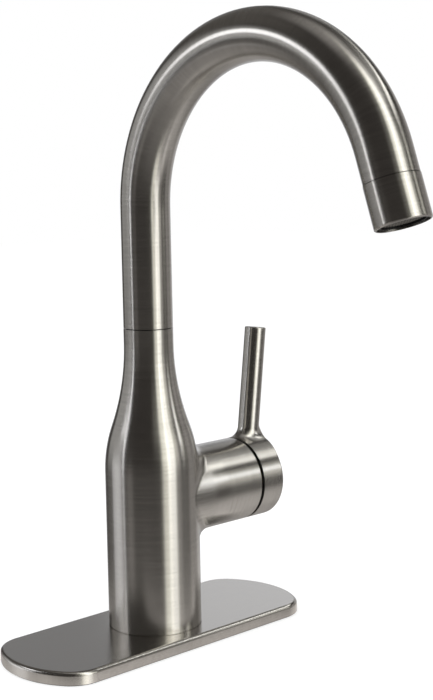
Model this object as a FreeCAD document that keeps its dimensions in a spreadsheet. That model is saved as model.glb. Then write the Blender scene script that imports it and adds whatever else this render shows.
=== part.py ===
"""Gooseneck bar faucet: one valve body on a deck plate, a swivelling gooseneck spout and a side lever.

Millimetres. +Z is up, the spout points along -Y and the valve branch along +X. The origin lies on the
body's axis, on the deck that the faucet stands on.
"""
import FreeCAD, Part
import math
import os

import Sketcher

App = FreeCAD
Vector = App.Vector

# ------------------------------------------------------------ driving sizes

SIZES = {
    # deck plate
    "plate_length": 174.5,
    "plate_width": 66.0,
    "plate_top": 6.6,
    "plate_wall": 1.5,
    "plate_end_radius": 45.6,
    "plate_corner_radius": 17.0,
    "plate_edge_round": 1.9,
    "plate_hole_radius": 17.5,
    "gasket_thickness": 0.5,
    "gasket_inset": 0.7,
    "gasket_band": 6.0,
    "base_gap": 0.3,
    "base_pocket_width": 5.0,
    "base_pocket_length": 38.0,
    "base_pocket_pitch": 8.0,
    "base_pocket_start": 26.0,
    "base_skin": 1.2,
    # body
    "body_radius": 24.0,
    "shoulder_start": 86.5,
    "shoulder_end": 151.9,
    "shoulder_share": 0.361,
    "neck_radius": 12.73,
    "body_top": 159.9,
    "cavity_radius": 15.0,
    "foot_seal_radius": 20.4,
    "foot_seal_section": 0.9,
    "foot_seal_gap": 0.05,
    "foot_step": 0.4,
    # mounting below the deck
    "shank_radius": 16.0,
    "shank_bore": 13.2,
    "shank_engagement": 15.0,
    "shank_bottom": 62.0,
    "shank_chamfer": 1.0,
    "thread_gap": 0.05,
    "deck_gap": 25.0,
    "rubber_washer_radius": 28.0,
    "rubber_washer_thickness": 3.0,
    "steel_washer_radius": 27.0,
    "steel_washer_thickness": 1.5,
    "washer_gap": 0.4,
    "nut_width": 44.0,
    "nut_height": 10.0,
    "nut_chamfer": 1.6,
    # waterways
    "inlet_spread": 7.4,
    "inlet_radius": 2.7,
    "inlet_thread_radius": 4.3,
    "inlet_thread_depth": 12.0,
    "inlet_wall": 3.3,
    "inlet_rise": 5.9,
    "outlet_radius": 3.1,
    "outlet_drop": 7.5,
    "riser_spare": 0.25,
    # spout socket and spout shank
    "seam_gap": 0.5,
    "journal_radius": 9.55,
    "journal_gap": 0.05,
    "journal_length": 46.0,
    "socket_spare": 2.0,
    "spout_shank_bore": 6.2,
    "spout_plug_length": 12.0,
    "seal_section": 0.8,
    "upper_seal_drop": 18.0,
    "lower_seal_drop": 39.0,
    "clip_drop": 31.0,
    "clip_thickness": 2.0,
    "clip_groove": 1.15,
    "clip_gap": 0.2,
    "clip_split": 5.0,
    "glide_depth": 0.8,
    "glide_outer_radius": 11.5,
    # spout tube
    "tube_radius": 12.7,
    "tube_wall": 1.2,
    "arch_start": 221.8,
    "arch_radius": 80.5,
    "arch_sweep": 161.9,
    "tube_end_length": 12.6,
    # aerator
    "adapter_depth": 8.0,
    "adapter_wall": 3.0,
    "aerator_length": 20.1,
    "aerator_radius": 12.9,
    "aerator_wall": 1.55,
    "aerator_ledge_depth": 10.6,
    "aerator_ledge_wall": 2.05,
    "aerator_mouth_depth": 3.6,
    "aerator_mouth_wall": 1.2,
    "aerator_lip_round": 0.9,
    "aerator_seam_height": 0.35,
    "aerator_seam_depth": 0.6,
    "aerator_gap": 0.1,
    "insert_flange": 1.1,
    "insert_wall": 0.8,
    "insert_recess": 0.7,
    "diffuser_depth": 3.0,
    "diffuser_thickness": 1.6,
    "diffuser_hole_radius": 0.7,
    "diffuser_ring_radius": 7.0,
    "screen_recess": 1.0,
    "screen_thickness": 0.4,
    "screen_pitch": 1.9,
    "screen_wire": 0.5,
    # valve branch: the end is measured outwards from the pivot, as are the depths further down
    "valve_height": 71.9,
    "branch_radius": 22.06,
    "branch_end": 18.0,
    "branch_fillet": 9.0,
    "branch_mouth_edge": 0.8,
    "valve_bore_radius": 17.7,
    # cartridge
    "cartridge_radius": 17.4,
    "cartridge_wall": 3.2,
    "cartridge_base_thickness": 4.0,
    "disc_thickness": 3.5,
    "disc_film": 0.05,
    "fixed_disc_gap": 0.3,
    "moving_disc_radius": 10.6,
    "mixing_depth": 2.0,
    "mixing_half_width": 8.2,
    "mixing_half_waist": 3.3,
    "mixing_rise": 2.5,
    "mixing_shelf_drop": 1.0,
    "mixing_drop": 9.6,
    "driver_thickness": 4.5,
    "driver_eye_radius": 2.5,
    "ball_radius": 2.3,
    "ball_neck_radius": 1.5,
    "ball_arm": 7.5,
    "bar_rear_reach": 3.8,
    "pivot_depth": 41.0,
    "pin_radius": 1.5,
    "pin_half_length": 13.0,
    "pin_gap": 0.06,
    "carrier_front": 7.2,
    "carrier_rear_reach": 4.8,
    "carrier_rear_gap": 0.65,
    "carrier_gap": 0.08,
    "carrier_neck_radius": 10.3,
    "carrier_neck_end": 10.2,
    "slot_gap": 0.15,
    "slot_up": 5.6,
    "slot_down": 8.2,
    "cartridge_front": 10.0,
    "port_seal_section": 0.7,
    "port_seal_radius": 4.1,
    "port_seal_gap": 0.05,
    "cartridge_nut_length": 6.5,
    "cartridge_nut_bore": 11.5,
    "cartridge_nut_gap": 0.1,
    "spanner_slot_width": 5.0,
    "spanner_slot_depth": 2.5,
    # dome cover
    "dome_radius": 27.6,
    "dome_wall": 1.5,
    "dome_hole_radius": 14.2,
    "dome_foot_radius": 16.2,
    # handle
    "stem_width": 7.8,
    "stem_end": 32.6,
    "cap_start": 19.4,
    "cap_end": 34.2,
    "cap_radius": 22.06,
    "cap_bowl_gap": 0.8,
    "cap_edge_round": 1.3,
    "cap_rim_edge": 0.3,
    "lever_radius": 5.74,
    "lever_foot": 26.1,
    "lever_lean": 7.2,
    "lever_length": 81.8,
    "lever_flare": 7.0,
    "lever_root": 10.0,
    "lever_trim": 0.15,
    "lever_top_round": 0.6,
    "screw_depth": 31.0,
    "screw_radius": 2.0,
    "screw_length": 8.0,
    "screw_key": 1.0,
    "screw_gap": 0.05,
    # cuts
    "cut_reach": 60.0,
    "cut_overrun": 1.0,
}

BASE_POCKETS = 5  # reliefs on each side of the plate's base
DIFFUSER_HOLES = 12


class Size:
    """A length or a number that knows its value and the sheet expression that gives it."""

    def __init__(self, value, text):
        self.value = value
        self.text = text

    def __add__(self, other):
        other = size(other)
        return Size(self.value + other.value, f"({self.text} + {other.text})")

    def __sub__(self, other):
        other = size(other)
        return Size(self.value - other.value, f"({self.text} - {other.text})")

    def __mul__(self, other):
        other = size(other)
        return Size(self.value * other.value, f"({self.text} * {other.text})")

    def __truediv__(self, other):
        other = size(other)
        return Size(self.value / other.value, f"({self.text} / {other.text})")

    def __neg__(self):
        return Size(-self.value, f"(-1 * {self.text})")


def size(number):
    """The number as a Size."""
    return number if isinstance(number, Size) else Size(float(number), f"({number})")


def of(alias):
    """The driving size of that name."""
    return Size(SIZES[alias], f"Sizes.{alias}")


def root(a):
    """Square root."""
    return Size(math.sqrt(a.value), f"sqrt({a.text})")


def sine(a):
    """Sine of an angle in degrees."""
    return Size(math.sin(math.radians(a.value)), f"sin({a.text} * 1 deg)")


def cosine(a):
    """Cosine of an angle in degrees."""
    return Size(math.cos(math.radians(a.value)), f"cos({a.text} * 1 deg)")


def leg(hypotenuse, side):
    """The other short side of a right triangle."""
    return root(hypotenuse * hypotenuse - side * side)


ZERO = size(0)
FAR = of("cut_reach")  # reach of cuts that go right through a piece
OVERRUN = of("cut_overrun")  # how far outside a piece a cut starts

# ------------------------------------------------------------ places that follow from the sizes


def outwards(alias):
    """Place along the valve branch of what is measured outwards from the handle's pivot."""
    return of("pivot_depth") + of(alias)


AXIS = of("valve_height")
CARRIER_REAR = of("pivot_depth") - of("carrier_rear_reach")
DRIVER_END = CARRIER_REAR - of("carrier_rear_gap")
MOVING_END = DRIVER_END - of("driver_thickness")
MOVING_START = MOVING_END - of("disc_thickness")
FIXED_END = MOVING_START - of("disc_film")
BASE_END = FIXED_END - of("disc_thickness")
SEAT = BASE_END - of("cartridge_base_thickness")
OUTLET_LOW = AXIS - of("outlet_drop") - of("outlet_radius")
CAVITY_TOP = OUTLET_LOW - of("inlet_wall") - of("inlet_thread_depth")

doc = App.newDocument("gooseneck_faucet")
sheet = doc.addObject("Spreadsheet::Sheet", "Sizes")
for row, (alias, number) in enumerate(SIZES.items(), 1):
    sheet.set(f"A{row}", alias)
    sheet.set(f"B{row}", str(number))
    sheet.setAlias(f"B{row}", alias)
doc.recompute()

# ------------------------------------------------------------ drawing tools

BODIES = {}


def new_body(label, height=None):
    """A body of that label; height raises its own origin along Z."""
    body = doc.addObject("PartDesign::Body", label)
    body.Label = label
    if height is not None:
        body.setExpression("Placement.Base.z", height.text)
        body.Placement.Base = Vector(0, 0, height.value)
    BODIES[label] = body
    return body


def new_sketch(body, plane, name, offset=ZERO):
    """A sketch on an origin plane of the body, moved along that plane's normal by offset."""
    sketch = body.newObject("Sketcher::SketchObject", name)
    roles = {feature.Role: feature for feature in body.Origin.OriginFeatures}
    sketch.AttachmentSupport = [(roles[plane + "_Plane"], "")]
    sketch.MapMode = "FlatFace"
    sketch.AttachmentOffset = App.Placement(Vector(0, 0, offset.value), App.Rotation())
    sketch.setExpression("AttachmentOffset.Base.z", offset.text)
    return sketch


def place_point(sketch, geometry, end, x, y):
    """Ties a point of the sketch to the distances x and y from the sketch's origin."""
    for kind, axis, distance in (("DistanceX", -2, size(x)), ("DistanceY", -1, size(y))):
        if distance.text == ZERO.text:
            sketch.addConstraint(Sketcher.Constraint("PointOnObject", geometry, end, axis))
        elif distance.value > 0:
            index = sketch.addConstraint(Sketcher.Constraint(kind, -1, 1, geometry, end, distance.value))
            sketch.setExpression(f"Constraints[{index}]", distance.text)
        else:
            index = sketch.addConstraint(Sketcher.Constraint(kind, geometry, end, -1, 1, -distance.value))
            sketch.setExpression(f"Constraints[{index}]", (-distance).text)


def add_side(sketch, here, there):
    """Adds the side between two corners (x, y[, radius]).

    Returns its index and the ends it starts and stops at. A corner's radius bends the side that leaves it
    into an arc under half a circle. The arc's centre lies to the left of the way where the radius is
    positive and to the right where it is negative.
    """
    a = Vector(size(here[0]).value, size(here[1]).value, 0)
    b = Vector(size(there[0]).value, size(there[1]).value, 0)
    if len(here) < 3:
        return sketch.addGeometry(Part.LineSegment(a, b), False), 1, 2
    bend = size(here[2])
    radius = abs(bend.value)
    half = (b - a) / 2
    left = Vector(-half.y, half.x, 0).normalize() * math.copysign(1, bend.value)
    centre = a + half + left * math.sqrt(radius**2 - half.Length**2)
    first, last = (a, b) if bend.value > 0 else (b, a)
    start = math.atan2(first.y - centre.y, first.x - centre.x)
    stop = math.atan2(last.y - centre.y, last.x - centre.x)
    circle = Part.Circle(centre, Vector(0, 0, 1), radius)
    index = sketch.addGeometry(Part.ArcOfCircle(circle, start, stop), False)
    return (index, 1, 2) if bend.value > 0 else (index, 2, 1)


def draw(sketch, corners, closed=True):
    """Draws sides through corners (x, y[, radius]) and ties every corner and radius to its size."""
    count = len(corners) if closed else len(corners) - 1
    sides = [add_side(sketch, corners[i], corners[(i + 1) % len(corners)]) for i in range(count)]
    for i, (index, start, stop) in enumerate(sides):
        if closed or i + 1 < count:
            following, its_start, _ = sides[(i + 1) % count]
            sketch.addConstraint(Sketcher.Constraint("Coincident", index, stop, following, its_start))
        place_point(sketch, index, start, corners[i][0], corners[i][1])
        if len(corners[i]) == 3:
            bend = size(corners[i][2])
            bend = bend if bend.value > 0 else -bend
            tie = sketch.addConstraint(Sketcher.Constraint("Radius", index, bend.value))
            sketch.setExpression(f"Constraints[{tie}]", bend.text)
    if not closed:
        index, _, stop = sides[-1]
        place_point(sketch, index, stop, corners[-1][0], corners[-1][1])
    return sketch


def circle(sketch, radius, x=ZERO, y=ZERO):
    """Draws a circle."""
    radius = size(radius)
    centre = Vector(size(x).value, size(y).value, 0)
    index = sketch.addGeometry(Part.Circle(centre, Vector(0, 0, 1), radius.value), False)
    tie = sketch.addConstraint(Sketcher.Constraint("Radius", index, radius.value))
    sketch.setExpression(f"Constraints[{tie}]", radius.text)
    place_point(sketch, index, 3, x, y)
    return sketch


def oblong(sketch, left, right, low, high):
    """Draws a rectangle."""
    return draw(sketch, [(left, low), (right, low), (right, high), (left, high)])


def hexagon(sketch, flat, x=ZERO):
    """Draws a hexagon about (x, 0) with two corners level with it; flat is half its width across flats."""
    corner = flat * 2 / size(math.sqrt(3))
    half = corner / 2
    right = [(x + half, -flat), (x + corner, ZERO), (x + half, flat)]
    left = [(x - half, flat), (x - corner, ZERO), (x - half, -flat)]
    return draw(sketch, right + left)


def feature(body, kind, name, sketch, length=None, reverse=False):
    """Adds a feature on the sketch: its length, and whether it runs against its usual way."""
    made = body.newObject("PartDesign::" + kind, name)
    made.Profile = sketch
    made.Reversed = reverse
    if length is not None:
        made.Length = length.value
        made.setExpression("Length", length.text)
    return made


def settle(body, made, adds):
    """Recomputes, and stops if the feature left the body no larger, or no smaller."""
    before = made.BaseFeature.Shape.Volume if made.BaseFeature else 0
    doc.recompute()
    after = made.Shape.Volume
    if not (after > before if adds else after < before):
        raise RuntimeError(f"{body.Label}: {made.Label} changed nothing ({before:.1f} to {after:.1f})")
    body.Tip = made
    return made


def pad(body, name, sketch, length, reverse=False):
    """A pad along the sketch's normal."""
    return settle(body, feature(body, "Pad", name, sketch, length, reverse), True)


def pocket(body, name, sketch, length, reverse=False):
    """A pocket against the sketch's normal."""
    return settle(body, feature(body, "Pocket", name, sketch, length, reverse), False)


def revolve(body, name, sketch, axis):
    """A full turn of the sketch about its own V or H axis."""
    made = feature(body, "Revolution", name, sketch)
    made.ReferenceAxis = (sketch, [axis + "_Axis"])
    return settle(body, made, True)


def groove(body, name, sketch, axis):
    """A full turn of the sketch taken out of the body."""
    made = feature(body, "Groove", name, sketch)
    made.ReferenceAxis = (sketch, [axis + "_Axis"])
    return settle(body, made, False)


def edges_where(made, test):
    """Names of the feature's edges that pass the test."""
    return [f"Edge{i}" for i, edge in enumerate(made.Shape.Edges, 1) if test(edge)]


def dress(body, kind, name, base, test, amount):
    """A fillet or chamfer of that amount on the edges of base that pass the test."""
    names = edges_where(base, test)
    if not names:
        raise RuntimeError(f"{body.Label}: {name} found no edge")
    made = body.newObject("PartDesign::" + kind, name)
    made.Base = (base, names)
    value = "Radius" if kind == "Fillet" else "Size"
    setattr(made, value, amount.value)
    made.setExpression(value, amount.text)
    doc.recompute()
    if not made.isValid() or made.Shape.isNull():
        raise RuntimeError(f"{body.Label}: {name} failed")
    body.Tip = made
    return made


def repeat(body, name, made, count):
    """Copies of the feature spaced evenly round the body's Z axis."""
    pattern = body.newObject("PartDesign::PolarPattern", name)
    pattern.Originals = [made]
    pattern.Occurrences = count
    roles = {part.Role: part for part in body.Origin.OriginFeatures}
    pattern.Axis = (roles["Z_Axis"], [""])
    pattern.Angle = 360
    doc.recompute()
    body.Tip = pattern
    return pattern


def at_height(edge, height):
    """Whether the whole edge lies at that height."""
    return all(abs(v.z - height.value) < 1e-4 for v in edge.discretize(5))


def at_depth(edge, depth):
    """Whether the whole edge lies at that distance along X."""
    return all(abs(v.x - depth.value) < 1e-4 for v in edge.discretize(5))


def round_about(edge, axis, radius):
    """Whether every point of the edge is at that radius from the body's own Z or X axis."""
    for v in edge.discretize(5):
        reach = math.hypot(v.x, v.y) if axis == "Z" else math.hypot(v.y, v.z)
        if abs(reach - radius.value) > 1e-3:
            return False
    return True


def ring(label, axis, start, length, outer, inner=None, height=None):
    """A plain round piece with an optional bore, from start along the body's Z or X axis."""
    body = new_body(label, height)
    sketch = new_sketch(body, "XY" if axis == "Z" else "YZ", label + "_section", start)
    circle(sketch, outer)
    if inner is not None:
        circle(sketch, inner)
    pad(body, label + "_pad", sketch, length)
    return body


def turned(label, axis, corners, height=None):
    """A turned piece: corners (along, out[, radius]) are carried round the body's Z or X axis."""
    body = new_body(label, height)
    add_turning(body, label + "_profile", axis, corners)
    return body


def profile(body, name, axis, corners):
    """A sketch of corners (along, out[, radius]) beside the body's Z or X axis."""
    sketch = new_sketch(body, "XZ", name)
    if axis == "Z":
        corners = [(corner[1], corner[0], *(-size(bend) for bend in corner[2:])) for corner in corners]
    return draw(sketch, corners)


def add_turning(body, name, axis, corners):
    """Turns the profile into solid."""
    return revolve(body, name + "_turn", profile(body, name, axis, corners), "V" if axis == "Z" else "H")


def cut_turning(body, name, axis, corners):
    """Turns the profile out of the solid."""
    return groove(body, name + "_cut", profile(body, name, axis, corners), "V" if axis == "Z" else "H")


def part_object(kind, name, sizes, place=None, turn=None):
    """A Part primitive whose properties and position are tied to their sizes."""
    made = doc.addObject("Part::" + kind, name)
    if turn is not None:
        made.Placement = App.Placement(Vector(), App.Rotation(*turn))
    ties = dict(sizes)
    for axis, distance in zip("xyz", place or ()):
        ties["Placement.Base." + axis] = size(distance)
    for path, distance in ties.items():
        made.setExpression(path, size(distance).text)
    return made


def seal_group(label, rings, turn=None):
    """Round seals in one node: rings holds (radius, section, x, y, z) for each of them."""
    group = doc.addObject("Part::Compound", label)
    group.Label = label
    group.Links = [
        part_object("Torus", f"{label}_{i}", {"Radius1": radius, "Radius2": section}, (x, y, z), turn)
        for i, (radius, section, x, y, z) in enumerate(rings, 1)
    ]
    BODIES[label] = group
    return group


# ------------------------------------------------------------ deck plate


def plate_outline(sketch, inset=ZERO):
    """The plate's outline, drawn in by inset: straight long sides, flat end arcs and tighter corner arcs."""
    side = of("plate_width") / 2 - inset
    end_arc = of("plate_end_radius") - inset
    corner_arc = of("plate_corner_radius") - inset
    end_centre = of("plate_length") / 2 - of("plate_end_radius")
    corner_y = of("plate_width") / 2 - of("plate_corner_radius")
    spread = of("plate_end_radius") - of("plate_corner_radius")
    corner_x = end_centre + leg(spread, corner_y)
    end_x = end_centre + (corner_x - end_centre) * end_arc / spread
    end_y = corner_y * end_arc / spread
    return draw(
        sketch,
        [
            (end_x, -end_y, end_arc),
            (end_x, end_y, corner_arc),
            (corner_x, side),
            (-corner_x, side, corner_arc),
            (-end_x, end_y, end_arc),
            (-end_x, -end_y, corner_arc),
            (-corner_x, -side),
            (corner_x, -side, corner_arc),
        ],
    )


def make_deck_plate():
    """Pressed cover: a shell open below, its top edge rounded, with a hole for the shank."""
    body = new_body("deck_plate")
    low = of("gasket_thickness")
    sketch = plate_outline(new_sketch(body, "XY", "plate_outline", low))
    block = pad(body, "plate_block", sketch, of("plate_top") - low)
    top = of("plate_top")
    dress(body, "Fillet", "plate_edge", block, lambda edge: at_height(edge, top), of("plate_edge_round"))
    hollow = plate_outline(new_sketch(body, "XY", "plate_hollow", low), of("plate_wall"))
    pocket(body, "plate_inside", hollow, top - low - of("plate_wall"), reverse=True)
    hole = circle(new_sketch(body, "XY", "plate_hole", top), of("plate_hole_radius"))
    pocket(body, "plate_bore", hole, top)


def make_deck_plate_base():
    """Moulded plate that backs the cover, relieved from below by rows of pockets."""
    body = new_body("deck_plate_base")
    low = of("gasket_thickness")
    inset = of("plate_wall") + of("base_gap")
    tall = of("plate_top") - of("plate_wall") - low
    outline = plate_outline(new_sketch(body, "XY", "base_outline", low), inset)
    circle(outline, of("plate_hole_radius"))
    pad(body, "base_block", outline, tall)
    relief = new_sketch(body, "XY", "base_relief", low)
    for side in (1, -1):
        for i in range(BASE_POCKETS):
            near = (of("base_pocket_start") + of("base_pocket_pitch") * i) * side
            far = near + of("base_pocket_width") * side
            left, right = (near, far) if side > 0 else (far, near)
            oblong(relief, left, right, -of("base_pocket_length") / 2, of("base_pocket_length") / 2)
    pocket(body, "base_pockets", relief, tall - of("base_skin"), reverse=True)


def make_deck_gasket():
    """Foam gasket: a flat band just inside the plate's edge."""
    body = new_body("deck_gasket")
    outline = plate_outline(new_sketch(body, "XY", "gasket_outline"), of("gasket_inset"))
    plate_outline(outline, of("gasket_inset") + of("gasket_band"))
    pad(body, "gasket_band", outline, of("gasket_thickness"))


# ------------------------------------------------------------ faucet body

SEAM = of("body_top") + of("seam_gap")  # height of the tube's lower end
SOCKET = of("journal_radius") + of("journal_gap")
JOURNAL_END = SEAM - of("journal_length")
CLIP_TOP = of("body_top") - of("clip_drop")
CLIP_LOW = CLIP_TOP - of("clip_thickness")
CLIP_OUT = SOCKET + of("clip_groove")


def body_profile():
    """Half outline of the body: a step at its foot, a cylinder, then two tangent arcs up to the spout's width."""
    rise = of("shoulder_end") - of("shoulder_start")
    fall = of("body_radius") - of("neck_radius")
    arcs = (rise * rise + fall * fall) / (fall * 2)
    bend_at = of("shoulder_start") + rise * of("shoulder_share")
    bend_out = of("body_radius") - fall * of("shoulder_share")
    foot, foot_out = of("plate_top") + of("foot_step"), of("body_radius") - of("foot_step")
    return [
        (of("plate_top"), ZERO),
        (of("plate_top"), foot_out),
        (foot, foot_out),
        (foot, of("body_radius")),
        (of("shoulder_start"), of("body_radius"), -arcs * of("shoulder_share")),
        (bend_at, bend_out, arcs * (size(1) - of("shoulder_share"))),
        (of("shoulder_end"), of("neck_radius")),
        (of("body_top"), of("neck_radius")),
        (of("body_top"), ZERO),
    ]


def add_branch(body):
    """Valve branch along +X, blended into the bottle."""
    mouth = circle(new_sketch(body, "YZ", "branch_section"), of("branch_radius"), ZERO, of("valve_height"))
    branch = pad(body, "branch", mouth, outwards("branch_end"))
    axis = of("valve_height").value

    def joint_line(edge):
        points = edge.discretize(7)
        reach = [math.hypot(p.y, p.z - axis) for p in points]
        on_branch = all(abs(r - of("branch_radius").value) < 1e-3 for r in reach)
        return on_branch and max(p.x for p in points) < of("body_radius").value + 1

    blend = dress(body, "Fillet", "branch_blend", branch, joint_line, of("branch_fillet"))
    mouth_depth = outwards("branch_end")

    def mouth_line(edge):
        return at_depth(edge, mouth_depth)

    return dress(body, "Chamfer", "branch_mouth", blend, mouth_line, of("branch_mouth_edge"))


def cut_axial_bores(body):
    """Shank socket and hose cavity below, spout socket with its clip groove above."""
    low = of("plate_top")
    engaged = low + of("shank_engagement")
    thread = of("shank_radius") + of("thread_gap")
    cavity = [
        (low, ZERO),
        (low, thread),
        (engaged, thread),
        (engaged, of("cavity_radius")),
        (CAVITY_TOP, of("cavity_radius")),
        (CAVITY_TOP, ZERO),
    ]
    cut_turning(body, "cavity", "Z", cavity)
    floor = JOURNAL_END - of("socket_spare")
    counterbore = of("body_top") - of("glide_depth")
    wide = of("glide_outer_radius") + of("thread_gap")
    socket = [
        (floor, ZERO),
        (floor, SOCKET),
        (CLIP_LOW, SOCKET),
        (CLIP_LOW, CLIP_OUT),
        (CLIP_TOP, CLIP_OUT),
        (CLIP_TOP, SOCKET),
        (counterbore, SOCKET),
        (counterbore, wide),
        (of("body_top"), wide),
        (of("body_top"), ZERO),
    ]
    cut_turning(body, "socket", "Z", socket)
    room = of("foot_seal_section") + of("foot_seal_gap")
    seal_in, seal_out = of("foot_seal_radius") - room, of("foot_seal_radius") + room
    seal_top = low + room * 2
    foot = [(low, seal_in), (low, seal_out), (seal_top, seal_out), (seal_top, seal_in)]
    cut_turning(body, "foot_groove", "Z", foot)


def cut_waterways(body):
    """Valve bore, two threaded inlets that rise to its seat, and the outlet that leads up to the spout."""
    axis, seat, spare = of("valve_height"), SEAT, of("riser_spare")
    bore = new_sketch(body, "YZ", "valve_bore", outwards("branch_end"))
    circle(bore, of("valve_bore_radius"), ZERO, axis)
    pocket(body, "valve_pocket", bore, outwards("branch_end") - seat)
    threads = new_sketch(body, "XY", "inlet_threads", CAVITY_TOP)
    risers = new_sketch(body, "XY", "inlet_risers", CAVITY_TOP)
    ports = new_sketch(body, "YZ", "inlet_ports", seat)
    for side in (1, -1):
        circle(threads, of("inlet_thread_radius"), ZERO, of("inlet_spread") * side)
        circle(risers, of("inlet_radius") + spare, ZERO, of("inlet_spread") * side)
        circle(ports, of("inlet_radius"), of("inlet_spread") * side, axis + of("inlet_rise"))
    pocket(body, "inlet_thread_bores", threads, of("inlet_thread_depth"), reverse=True)
    top = axis + of("inlet_rise") + of("inlet_radius") + spare
    pocket(body, "inlet_riser_bores", risers, top - CAVITY_TOP, reverse=True)
    pocket(body, "inlet_port_bores", ports, seat)
    port = new_sketch(body, "YZ", "outlet_port", seat)
    circle(port, of("outlet_radius"), ZERO, axis - of("outlet_drop"))
    pocket(body, "outlet_port_bore", port, seat)
    foot = axis - of("outlet_drop") - of("outlet_radius") - spare
    rise = circle(new_sketch(body, "XY", "outlet_riser", foot), of("outlet_radius") + spare)
    pocket(body, "outlet_riser_bore", rise, JOURNAL_END - foot, reverse=True)


def make_faucet_body():
    """Cast body: a bottle with a valve branch, its sockets and its waterways."""
    body = turned("faucet_body", "Z", body_profile())
    add_branch(body)
    cut_axial_bores(body)
    cut_waterways(body)


def make_body_seal():
    """Rubber ring in the groove of the body's foot."""
    middle = of("plate_top") + of("foot_seal_section") + of("foot_seal_gap")
    seal_group("body_seal", [(of("foot_seal_radius"), of("foot_seal_section"), ZERO, ZERO, middle)])


# ------------------------------------------------------------ deck mounting


def make_mounting():
    """Hollow shank, rubber and steel washers and the nut that clamp the deck."""
    top = of("plate_top") + of("shank_engagement")
    low = -of("shank_bottom")
    out, bore, edge = of("shank_radius"), of("shank_bore"), of("shank_chamfer")
    lower = [(low, bore), (low, out - edge), (low + edge, out)]
    upper = [(top - edge, out), (top, out - edge), (top, bore)]
    turned("mounting_shank", "Z", lower + upper)
    rubber, steel = of("rubber_washer_thickness"), of("steel_washer_thickness")
    rubber_low = -of("deck_gap") - rubber
    steel_low = rubber_low - steel
    hole = out + of("washer_gap")
    ring("mounting_gasket", "Z", rubber_low, rubber, of("rubber_washer_radius"), hole)
    ring("mounting_washer", "Z", steel_low, steel, of("steel_washer_radius"), hole)
    make_nut(steel_low - of("nut_height"))


def make_nut(low):
    """Hexagon nut: a turned blank with chamfered corners, cut to its flats."""
    corner, edge = of("nut_width") / size(math.sqrt(3)), of("nut_chamfer")
    bore, high = of("shank_radius") + of("thread_gap"), low + of("nut_height")
    lower = [(low, bore), (low, corner - edge), (low + edge, corner)]
    upper = [(high - edge, corner), (high, corner - edge), (high, bore)]
    body = turned("mounting_nut", "Z", lower + upper)
    flats = circle(new_sketch(body, "XY", "nut_flats", high), corner + edge)
    hexagon(flats, of("nut_width") / 2)
    pocket(body, "nut_flat_cut", flats, of("nut_height"))


# ------------------------------------------------------------ spout


def seal_seat(drop):
    """Lower and upper edge of a seal groove whose middle lies that far below the seam."""
    middle = SEAM - drop
    return middle - of("seal_section") - of("journal_gap"), middle + of("seal_section") + of("journal_gap")


def make_spout_shank():
    """Turned shank: plugged into the tube above, a journal with two seal grooves and a clip groove below."""
    out, bore = of("journal_radius"), of("spout_shank_bore")
    groove_in = out - of("seal_section") * 2
    clip_in = out - of("clip_groove")
    plug = of("tube_radius") - of("tube_wall")
    low_a, low_b = seal_seat(of("lower_seal_drop"))
    high_a, high_b = seal_seat(of("upper_seal_drop"))
    clip_a, clip_b = CLIP_LOW - of("clip_gap"), CLIP_TOP + of("clip_gap")
    grooves = ((low_a, low_b, groove_in), (clip_a, clip_b, clip_in), (high_a, high_b, groove_in))
    outline = [(JOURNAL_END, bore), (JOURNAL_END, out)]
    for start, stop, depth in grooves:
        outline += [(start, out), (start, depth), (stop, depth), (stop, out)]
    top = SEAM + of("spout_plug_length")
    outline += [(SEAM, out), (SEAM, plug), (top, plug), (top, bore)]
    turned("spout_shank", "Z", outline)


def make_spout_seals():
    """Two rubber rings on the shank."""
    section = of("seal_section")
    middle = of("journal_radius") - section
    heights = [SEAM - of("lower_seal_drop"), SEAM - of("upper_seal_drop")]
    seal_group("spout_seals", [(middle, section, ZERO, ZERO, height) for height in heights])


def make_clip():
    """Split ring in the body's groove that keeps the shank from rising."""
    out = CLIP_OUT - of("journal_gap")
    inner = of("journal_radius") - of("clip_groove") + of("clip_gap")
    body = ring("spout_clip", "Z", CLIP_LOW, of("clip_thickness"), out, inner)
    split = new_sketch(body, "XY", "clip_split", CLIP_TOP)
    oblong(split, -of("clip_split") / 2, of("clip_split") / 2, ZERO, FAR)
    pocket(body, "clip_opening", split, of("clip_thickness"))


def make_glide_ring():
    """Plain ring in the seam, on which the spout turns."""
    low = of("body_top") - of("glide_depth")
    inner = SOCKET + of("journal_gap")
    tall = of("glide_depth") + of("seam_gap") - of("journal_gap")
    ring("glide_ring", "Z", low, tall, of("glide_outer_radius"), inner)


def arch_end():
    """Y and Z of the arch's end."""
    sweep, radius = of("arch_sweep"), of("arch_radius")
    return radius * (cosine(sweep) - size(1)), of("arch_start") + radius * sine(sweep)


def tip():
    """Y and Z of the tube's end, where the aerator starts."""
    y, z = arch_end()
    sweep, length = of("arch_sweep"), of("tube_end_length")
    return y - length * sine(sweep), z + length * cosine(sweep)


def make_spout_tube():
    """Bent tube: a riser, one round arch and a short straight end, swept along its centre line."""
    body = new_body("spout_tube")
    spine = new_sketch(body, "YZ", "spout_line")
    path = [(ZERO, SEAM), (ZERO, of("arch_start"), of("arch_radius")), arch_end(), tip()]
    draw(spine, path, closed=False)
    sections = (("AdditivePipe", "tube_outside", ZERO), ("SubtractivePipe", "tube_bore", of("tube_wall")))
    for kind, name, wall in sections:
        section = circle(new_sketch(body, "XY", name + "_section", SEAM), of("tube_radius") - wall)
        pipe = body.newObject("PartDesign::" + kind, name)
        pipe.Profile = section
        pipe.Spine = (spine, [f"Edge{i}" for i in range(1, len(path))])
        settle(body, pipe, kind == "AdditivePipe")


# ------------------------------------------------------------ aerator

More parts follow.
